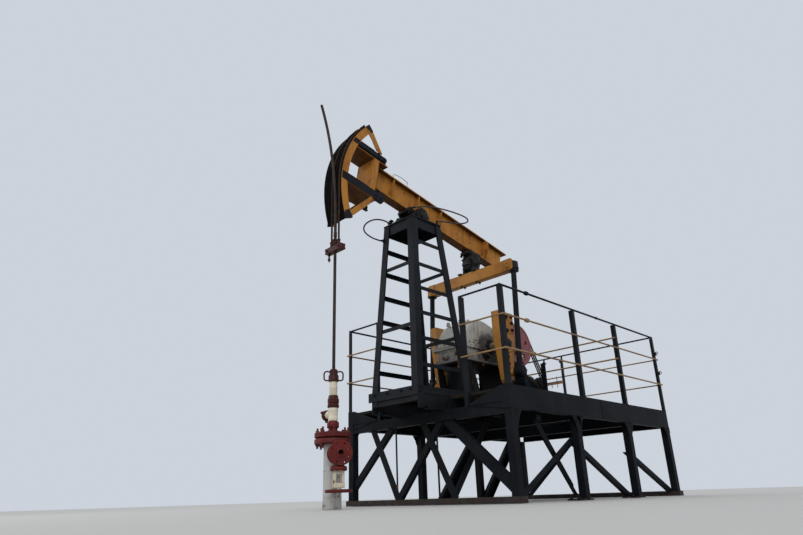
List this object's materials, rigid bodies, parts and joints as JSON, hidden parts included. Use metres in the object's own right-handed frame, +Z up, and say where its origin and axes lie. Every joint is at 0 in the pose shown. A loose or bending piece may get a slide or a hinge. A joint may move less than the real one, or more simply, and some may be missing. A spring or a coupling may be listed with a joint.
{
  "type": "oilfield beam pump on a raised platform",
  "caption": "Small conventional beam pumping unit on a raised steel platform with guard rails, horsehead, gear reducer and motor, standing over its wellhead.",
  "frame": {"origin": "On the ground straight below the saddle bearing axis of the walking beam, on the platform's centre line and at its front edge.", "axes": "+X runs back along the walking beam from the horsehead to the tail, +Y to the far side, +Z up."},
  "size_m": [5.1943, 2.52, 4.4054],
  "materials": {
    "black_paint": "weathered dark blue-grey enamel, dull, chipped to rust",
    "ochre_paint": "faded ochre yellow enamel with rust and oil stains",
    "rusty_steel": "bare rusty and oily steel",
    "deck_wood": "old oil-stained planks",
    "hose_rubber": "black rubber",
    "grey_casting": "pale grey paint flaking off a rough casting",
    "red_casting": "dusty faded red paint on cast iron",
    "motor_paint": "dull blue-grey motor paint",
    "cream_paint": "cream white paint with rust runs",
    "maroon_paint": "dark red-brown paint, glossy where fresh"
  },
  "bodies": {
    "frame": {"legs": "black_paint", "girders": "black_paint", "end_beams": "black_paint", "cross_beams": "black_paint", "deck_stringers": "black_paint", "corner_plates": "black_paint", "side_braces": "black_paint", "end_braces": "black_paint", "guard_posts": "black_paint", "guard_top_rails": "black_paint", "skid_channels": "black_paint", "skid_ties": "black_paint", "tower_side_near": "black_paint", "tower_side_far": "black_paint", "tower_ties": "black_paint", "tower_top": "black_paint", "saddle_bearings": "black_paint", "reducer_pedestal": "black_paint", "motor_rails": "black_paint", "guard_mid_rails": "ochre_paint", "ground_beams": "rusty_steel", "deck_boards": "deck_wood", "grease_hoses": "hose_rubber", "drive_belts": "hose_rubber", "reducer_lower": "grey_casting", "reducer_upper": "grey_casting", "reducer_pulley": "red_casting", "motor_pulley": "red_casting", "motor": "motor_paint", "casing": "cream_paint", "tubing_tee": "cream_paint", "casing_flanges": "maroon_paint", "stuffing_box": "maroon_paint", "side_valve": "maroon_paint"},
    "beam": {"walking_beam": "ochre_paint", "head_frame": "ochre_paint", "head_arms": "black_paint", "head_face": "black_paint", "wrapped_cables": "rusty_steel", "tail_bearing": "black_paint"},
    "equalizer": {"equalizer": "ochre_paint", "pitmans": "black_paint"},
    "crank": {"cranks": "ochre_paint", "crankshaft": "grey_casting"},
    "rod": {"carrier_bar": "maroon_paint", "polished_rod": "rusty_steel", "bridle_cables": "rusty_steel"},
    "valve_wheel": {"valve_handwheel": "maroon_paint"}
  },
  "joints": [
    {"name": "beam_swing", "type": "hinge", "parent": "frame", "child": "beam", "pos_m": [0, 0, 3.345], "axis": [0, -1, 0], "range_deg": [0, 35.67]},
    {"name": "crank_turn", "type": "hinge", "parent": "frame", "child": "crank", "pos_m": [1.01, 0, 1.79], "axis": [0, 1, 0], "range_deg": [0, 180.05]},
    {"name": "equalizer_pivot", "type": "hinge", "parent": "beam", "child": "equalizer", "pos_m": [1.12548, 0, 3.00101], "axis": [0, -1, 0], "range_deg": [-35.33, 0]},
    {"name": "rod_stroke", "type": "slide", "parent": "frame", "child": "rod", "axis": [0, 0, -1], "range_m": [0, 0.798], "deforming": ["bridle_cables"]},
    {"name": "valve_spindle", "type": "hinge", "parent": "frame", "child": "valve_wheel", "pos_m": [-1.37252, -0.28355, 0.151], "axis": [0, 0, 1], "continuous": true}
  ],
  "couplings": [
    {"joint": "crank_turn", "follows": "beam_swing", "ratio": 5.0463},
    {"joint": "equalizer_pivot", "follows": "beam_swing", "ratio": -0.9892},
    {"joint": "rod_stroke", "follows": "beam_swing", "m_per_rad": 1.281}
  ]
}
